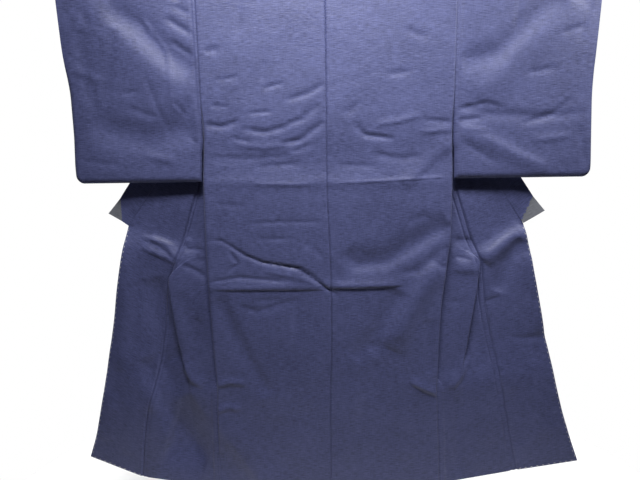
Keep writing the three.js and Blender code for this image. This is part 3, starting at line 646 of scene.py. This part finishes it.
def makeBody(name, node, half):
    surface = newSurface()
    hem, cut, top = bodyLength, -garment["neckDrop"], garment["frontTop"]
    # closer rows where the two pressed lines cross the back
    pressed = [*range(484, 506, 3), 757, *range(760, 777, 2), 779]
    for v in reversed(stations(quarterArc, hem, pressed)):
        addRow(surface, backRow(half, v)[::-1], v)
    for v in sorted([*np.linspace(-quarterArc, quarterArc, 2 * lineCount + 1)[1:], cut]):
        row = backRow(half, abs(v))[::-1]
        if v > cut:       # past the neck cut
            row = row[:bendColumns + sideColumns + 1]
        addRow(surface, overRod(row[:, 0], v, row[:, 1] - backPlane), abs(v))
    lipTop, lipEnd = lipTable[0][0], lipTable[-1][0]
    for k, v in enumerate(np.linspace(lipTop, lipEnd, 13)):
        addRow(surface, lipRow(half, v), v, zipped=k == 0)
    first, last = lipRow(half, lipEnd), frontRow(half, top)
    for t in np.arange(1, 7) / 7:
        addRow(surface, lerp(first, last, t), lerp(lipEnd, top, t))
    # closer rows where the front bends at the height of the collar's end
    upper = stations(top, 560, [garment["overlapTop"]], 10)
    middle = stations(560, 760, [collarEnd], 3.2)
    for v in sorted({*upper, *middle, *stations(760, hem, [], 6)}):
        addRow(surface, frontRow(half, v), v)
    return makeCloth(name, surface, garment["wall"], node, silkCloth)


def overlapRow(half, v, t):
    # points across an overlap panel, t from its seam to the front edge
    (ax, ad), (bx, bd) = joinPoint(half, v), edgePoint(half, v)
    y4, yEdge = readTable(layers, v, 4), readTable(layers, v, 5)
    x, d = lerp(ax + seamGap / 2, bx, t), lerp(ad, bd, t)
    wave = relief(apronCreases, half["sign"] * x, d) + frontRipple * ripple(half["sign"] * x, d, "front")
    wave = wave + groove("overlap", x - ax - seamGap / 2)
    return np.stack((half["sign"] * x, lerp(lerp(y4, yEdge, edgeShare), yEdge, t) + wave, shoulder - d), 1)


def makeOverlap(name, node, half):
    surface = newSurface()
    for v in stations(246, bodyLength, [663]):
        row = overlapRow(half, v, np.linspace(0, 1, 34) ** 1.5)
        under = turning * (v < collarEnd - 4)
        outwards = np.array((0.6 * half["sign"], 0, 0.8))
        turned = row[-1] + under[:, :1] * outwards + under[:, 1:] * (0, 1, 0)
        addRow(surface, np.concatenate((row, turned)), v)
    return makeCloth(name, surface, garment["wall"], node, silkCloth)


def quarterRound(t):
    return np.sqrt(1 - (1 - np.clip(t, 0, 1)) ** 2)


# half the hanging sleeve's depth, the rounding of its edges, how its cuff opens, its seam's second line
sleeve = {"halfDepth": 9, "bottomRound": 16, "sideRound": 14, "opensOver": (-90, 30), "lineAway": 9}


def makeSleeve(name, node, half):
    surface = newSurface()
    length, corner, hole = garment["sleeveLength"], garment["sleeveCorner"], garment["armhole"]
    atEdge = np.array([0, 0.0035, 0.008, 0.014, 0.022, 0.031, 0.042])
    columns = np.concatenate((atEdge, np.linspace(0.055, 0.955, 50), 1 - atEdge[::-1]))
    drops = stations(quarterArc + 3, length - 24, []) + [478, 482, 486, 489, 492, 494.5, 496.5, length]
    over = np.linspace(-quarterArc, quarterArc, 2 * lineCount + 1).tolist()
    opens = [garment["cuffOpening"] + along for along in sleeve["opensOver"]]
    for v in [-d for d in reversed(drops)] + over + drops:
        down, drop = abs(v), dropOf(v)
        pinch, clear = sewnShare(down), freeOfRod(down)
        inner = readTable(half["side"], down) + seamGap / 2 + 2.3 * pinch + 3 * smoothStep(hole, 430, down)
        left = max(down - (length - corner), 0)
        outer = readTable(half["cuff"], down) - corner + math.sqrt(corner ** 2 - left ** 2 * 0.98)
        x = lerp(inner, outer, columns)
        under = turning[::-1] * (1 - pinch)
        if down <= quarterArc + 0.1:
            x = np.concatenate((inner - under[:, 0], x))
            inset = np.concatenate((under[:, 1] * 0.7, np.zeros(len(columns))))
            addRow(surface, overRod(half["sign"] * x, v, inset), v)
            continue
        away, edge = x - inner, outer - x
        hang = lerp(shoulder, sleeve["halfDepth"], smoothStep(garment["clearOfRod"], 420, down))
        bottom = quarterRound((length - down) / sleeve["bottomRound"])
        cuff = lerp(1, quarterRound(edge / sleeve["sideRound"]), smoothStep(*opens, down))
        arm = lerp(1, quarterRound(away / sleeve["sideRound"]), pinch)
        y = np.maximum(hang * bottom * cuff * arm, garment["wall"] / 2 + 0.2)
        # each side has its own creases, which fade at the edges
        creases, sheet = (sleeveCreases, "sleeveBack") if v < 0 else (innerCreases, "sleeveFront")
        soft = bottom * cuff * clear * smoothStep(0, 12, edge)
        wave = relief(creases, half["sign"] * x, drop) * soft * smoothStep(0, 24, away)
        wave = wave + ripple(half["sign"] * x, drop, sheet) * soft
        pull = groove("sleeve", away) + groove("sleeveLine", away - sleeve["lineAway"])
        wave = wave + pull * (v < 0) * (1 - pinch) * clear
        y = np.sign(v) * y + wave * (y > 4)
        x = np.concatenate((inner - under[:, 0], x))
        y = np.concatenate((y[0] - np.sign(v) * under[:, 1] * lerp(0.7, 1, clear), y))
        addRow(surface, np.stack((half["sign"] * x, y, np.full(len(x), shoulder - drop)), 1), v)
    return makeCloth(name, surface, garment["wall"], node, silkCloth)


# the collar's seam edge from the left front to the back of the neck: x, y, z, then its width's x and z
neckPath = [(95.2, 18.2, -5.5, 0.72, 0.7), (91.8, 17.6, 2.5, 0.55, 0.83), (89.5, 13.5, 10, 0.4, 0.92),
            (88.3, 7, 14.4, 0.25, 0.97), (88, 0, 16, 0.12, 0.99), (86.5, -7, 14.4, 0.06, 1),
            (83, -11.6, 10.5, 0, 1), (76, -13.2, 7.6, 0, 1), (60, -13.4, 6.5, 0, 1), (30, -13.4, 6.3, 0, 1)]


def collarSide(half):
    # seam edge points and width directions from the end of the collar up to the neck
    (ex, ed), (sx, sd) = linePoint(half, collarEnd), linePoint(half, quarterArc)
    length = math.hypot(ex - sx, ed - sd)
    width = (half["sign"] * (ed - sd) / length, 0, (ex - sx) / length)
    rows = []
    for v in reversed(stations(garment["frontTop"], collarEnd)):
        x, d = linePoint(half, v)
        y = readTable(layers, v, 5) + float(relief(apronCreases, half["sign"] * x, d))
        rows.append(((half["sign"] * x, y, shoulder - d), width))
    for v in np.linspace(lipTable[-1][0], lipTable[0][0], 9):
        x, y, z = lipRow(half, v)[-1]
        rows.append(((x + width[0], max(y, 18) + 0.8, z + width[2]), width))      # just off the lip
    for k in np.arange(0, len(neckPath) - 0.99, 0.5):      # one more row between each two
        low, high = neckPath[int(k)], neckPath[min(int(k) + 1, len(neckPath) - 1)]
        x, y, z, wx, wz = (lerp(a, b, k % 1) for a, b in zip(low, high))
        rows.append(((half["sign"] * x, y, z), (half["sign"] * wx, 0.1, wz)))
    return rows


# the lines, x and drop, beyond which the collar's lower corners are bent up and painted a lighter grey, a
# painted highlight for the light they catch
tipBends = [((-548, 548), (-548, 587)), ((520, 545), (495, 603))]


def beyondBend(x, drop):
    far = np.zeros(np.shape(x))
    for (x1, d1), (x2, d2) in tipBends:
        outwards = ((x - x1) * (d2 - d1) - (drop - d1) * (x2 - x1)) / math.dist((x1, d1), (x2, d2))
        far = np.maximum(far, outwards * math.copysign(1, x1) * (x * x1 > 0) * (drop > 500))
    return far


def makeCollar():
    surface = newSurface()
    left, right = collarSide(halves["left"]), collarSide(halves["right"])
    middle = [((0, -13.4, 6.3), (0, 0.1, 1))]
    full = garment["collarWidth"]
    widths = np.concatenate(([0.3, 1.5, 3.5], np.linspace(7, 52, 10), [55, 56.6, 57.3]))
    along = 0
    before = None
    for p, w in left + middle + right[::-1]:
        p, w = np.array(p), np.array(w)
        along += 0 if before is None else float(np.linalg.norm(p - before))
        before = p
        row = p + w * widths[:, None]
        # a faint roll towards the folded edge
        row[:, 1] = row[:, 1] - 0.9 * np.sin(np.pi * widths / full) * (abs(p[0]) > 100)
        row[:, 1] = row[:, 1] - 0.5 * beyondBend(row[:, 0], shoulder - row[:, 2])
        addRow(surface, row, along)
    piece = makeCloth("silk_collar", surface, garment["collarWall"], "collar", silkCloth)
    piece.data.materials.append(tipHighlightCloth)
    bpy.ops.object.mode_set(mode="EDIT")
    for (x1, d1), (x2, d2) in tipBends:
        bpy.ops.mesh.select_all(action="SELECT")
        bpy.ops.mesh.bisect(plane_co=(x1 * mm, 0, (shoulder - d1) * mm), plane_no=(d2 - d1, 0, x2 - x1))
    bpy.ops.object.mode_set(mode="OBJECT")
    # faces past the bend lines take the lighter grey, a painted highlight
    for face in piece.data.polygons:
        centre = face.center / mm
        face.material_index = int(beyondBend(centre.x, shoulder - centre.z) > 0.05)
    return piece


# basting left in new kimono: short white cotton stitches just inside the front edges and the hem. down: how
# far the line keeps from the collar's end and the hem. across: its first and last share of the panel.
basting = {
    "length": 4.5, "thickness": 0.75, "pitch": 14, "inset": 3, "edgeShare": 0.978, "panelWidth": 148,
    "down": (12, 6), "across": (0.06, 0.96), "cotton": "#e9e8e4", "cottonShade": "#cfcec9",
}
cotton, tree, shader = newMaterial("white cotton thread", {"Roughness": 0.85})
place = addNode(tree, "TexCoord").outputs["Object"]
twist = addNode(tree, "TexNoise", {"Scale": 900}, {"Vector": place})
cottonColour = addRamp(tree, twist.outputs["Fac"], (basting["cottonShade"], basting["cotton"]))
tree.links.new(cottonColour, shader.inputs["Base Color"])


def makeBasting(name, half):
    bpy.ops.object.select_all(action="DESELECT")
    bpy.ops.mesh.primitive_cylinder_add(vertices=8, radius=basting["thickness"] / 2 * mm,
                                        depth=basting["length"] * mm)
    stitch = bpy.context.object
    stitch.data.materials.append(cotton)
    hem, share, pitch = bodyLength - basting["inset"], basting["edgeShare"], basting["pitch"]
    first, last = collarEnd + basting["down"][0], hem - basting["down"][1]
    down = [(v, share, v + 4, share) for v in np.arange(first, last, pitch)]
    across = [(hem, t, hem, t + 0.03) for t in np.arange(*basting["across"], pitch / basting["panelWidth"])]
    for v1, t1, v2, t2 in down + across:
        start, end = (Vector(overlapRow(half, v, np.array([t]))[0]) for v, t in ((v1, t1), (v2, t2)))
        copy = stitch.copy()
        copy.data = stitch.data.copy()
        bpy.context.scene.collection.objects.link(copy)
        outside = (start + Vector((0, -garment["wall"] / 2 - 0.2, 0))) * mm
        along = (end - start).to_track_quat("Z", "Y").to_matrix().to_4x4()
        copy.matrix_world = Matrix.Translation(outside) @ along
        copy.select_set(True)
    bpy.ops.object.join()
    stitch.name = stitch.data.name = name
    bpy.ops.object.transform_apply(location=True, rotation=True, scale=True)
    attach(stitch, "root")
    return stitch


bodies, sleeves, overlaps, stitches = {}, {}, {}, {}
for which, half in halves.items():
    bodies[which] = makeBody(f"silk_body_{which}", f"body_{which}", half)
    sleeves[which] = makeSleeve(f"silk_sleeve_{which}", f"sleeve_{which}", half)
    overlaps[which] = makeOverlap(f"silk_overlap_{which}", f"overlap_{which}", half)
    stitches[which] = makeBasting(f"basting_{which}", half)
collar = makeCollar()
made = [o for o in bpy.data.objects if o.type == "MESH" and not o.hide_render]
print("cloth made:", [(o.name, len(o.data.polygons)) for o in made])

# rod of planed hinoki: straight fine grain along it and a satin surface
rodWood = {
    "radius": 12, "length": 1460, "chamfer": 1.5, "dark": "#b48d5a", "light": "#d9bc8c", "run": 400,
    "grain": 3, "toneStops": (0.35, 0.7), "bump": 0.15, "bumpDepth": 0.4, "roughness": 0.45,
}
bpy.ops.object.select_all(action="DESELECT")
bpy.ops.mesh.primitive_cylinder_add(vertices=96, radius=rodWood["radius"] * mm,
                                    depth=rodWood["length"] * mm, rotation=(0, math.pi / 2, 0))
rod = bpy.context.object
rod.name = rod.data.name = "hanging_rod"
bpy.ops.object.transform_apply(location=True, rotation=True, scale=True)
rounding = rod.modifiers.new("rounding", "BEVEL")
rounding.width = rodWood["chamfer"] * mm
rounding.segments = 3
rounding.limit_method = "ANGLE"
rounding.angle_limit = math.radians(60)
bpy.ops.object.modifier_apply(modifier=rounding.name)
bpy.ops.object.shade_smooth_by_angle(angle=math.radians(40))
wood, tree, shader = newMaterial("planed hinoki", {"Roughness": rodWood["roughness"]})
place = addNode(tree, "TexCoord").outputs["Object"]
grain = addNoise(tree, place, (rodWood["run"], rodWood["grain"]), {"Detail": 4, "Distortion": 0.4})
woodColour = addRamp(tree, grain, (rodWood["dark"], rodWood["light"]), rodWood["toneStops"])
bump = addNode(tree, "Bump", {"Strength": rodWood["bump"], "Distance": rodWood["bumpDepth"] * mm},
               {"Height": grain})
tree.links.new(woodColour, shader.inputs["Base Color"])
tree.links.new(bump.outputs["Normal"], shader.inputs["Normal"])
rod.data.materials.append(wood)
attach(rod, "root")
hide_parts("rod")
print("rod made")

# camera at the garment's back, a little to the right, looking slightly down
camera = {"place": (40, -1359, -446.7), "pitch": 7.64, "yaw": -2.58, "roll": -0.87, "lens": 29.93}
pitch, yaw, roll = (math.radians(camera[k]) for k in ("pitch", "yaw", "roll"))
ahead = Vector((math.sin(yaw) * math.cos(pitch), math.cos(yaw) * math.cos(pitch), -math.sin(pitch)))
level = Vector((math.cos(yaw), -math.sin(yaw), 0))
upright = level.cross(ahead)
right = level * math.cos(roll) + upright * math.sin(roll)
top = upright * math.cos(roll) - level * math.sin(roll)
eye = bpy.data.objects.new("camera", bpy.data.cameras.new("camera"))
eye.data.lens, eye.data.sensor_width = camera["lens"], 36
turned = Matrix((right, top, -ahead)).transposed().to_4x4()
eye.matrix_world = Matrix.Translation(Vector(camera["place"]) * mm) @ turned
bpy.context.scene.collection.objects.link(eye)
bpy.context.scene.camera = eye

# soft light: a panel over the garment's back, a small one by its right side, and a large one behind it
studio = {
    "backdrop": 1.0, "worldLight": 0.03, "floorDrop": 1.42, "floorRadius": 1,
    "panels": [      # place, what it points at, width, depth, power, how wide it spreads in degrees
        ((-0.1, -0.66, 0.72), (-0.03, 0, -0.23), 0.9, 0.28, 13.6, 92),
        ((1.12, -0.4, 0.4), (0.62, 0, -0.2), 0.4, 0.25, 4.5, 90),
        ((0, 1.6, 1.1), (0, 0.9, -1.4), 2.6, 1.2, 66, 150),
    ],
}
world = bpy.data.worlds.new("studio")
bpy.context.scene.world = world
world.use_nodes = True
tree = world.node_tree
tree.nodes.clear()
seen = addNode(tree, "LightPath").outputs["Is Camera Ray"]
lit = addNode(tree, "Background", {"Color": (1, 1, 1, 1), "Strength": studio["worldLight"]})
shown = addNode(tree, "Background", {"Color": (1, 1, 1, 1), "Strength": studio["backdrop"]})
both = addNode(tree, "MixShader", links={0: seen, 1: lit.outputs[0], 2: shown.outputs[0]})
addNode(tree, "OutputWorld", links={"Surface": both.outputs[0]})
for number, (place, aim, width, depth, power, spread) in enumerate(studio["panels"]):
    panel = bpy.data.objects.new(f"panel{number}", bpy.data.lights.new(f"panel{number}", "AREA"))
    panel.data.shape = "RECTANGLE"
    panel.data.size, panel.data.size_y, panel.data.energy = width, depth, power
    panel.data.spread = math.radians(spread)
    panel.matrix_world = (Matrix.Translation(place)
                          @ (Vector(aim) - Vector(place)).to_track_quat("-Z", "Y").to_matrix().to_4x4())
    panel.visible_camera = False
    bpy.context.scene.collection.objects.link(panel)
bpy.ops.object.select_all(action="DESELECT")
bpy.ops.mesh.primitive_circle_add(vertices=96, radius=studio["floorRadius"], fill_type="NGON",
                                  location=(0, 0, -studio["floorDrop"]))
floor = bpy.context.object
floor.name = "floor"
paint, tree, shader = newMaterial("matt white floor paint", {"Roughness": 0.8})
place = addNode(tree, "TexCoord").outputs["Object"]
speck = addNode(tree, "TexNoise", {"Scale": 60}, {"Vector": place})
paintColour = addRamp(tree, speck.outputs["Fac"], ("#fafaf9", "#ffffff"))
tree.links.new(paintColour, shader.inputs["Base Color"])
floor.data.materials.append(paint)
bpy.context.scene.view_settings.view_transform = "Standard"
print("camera, light and floor made")
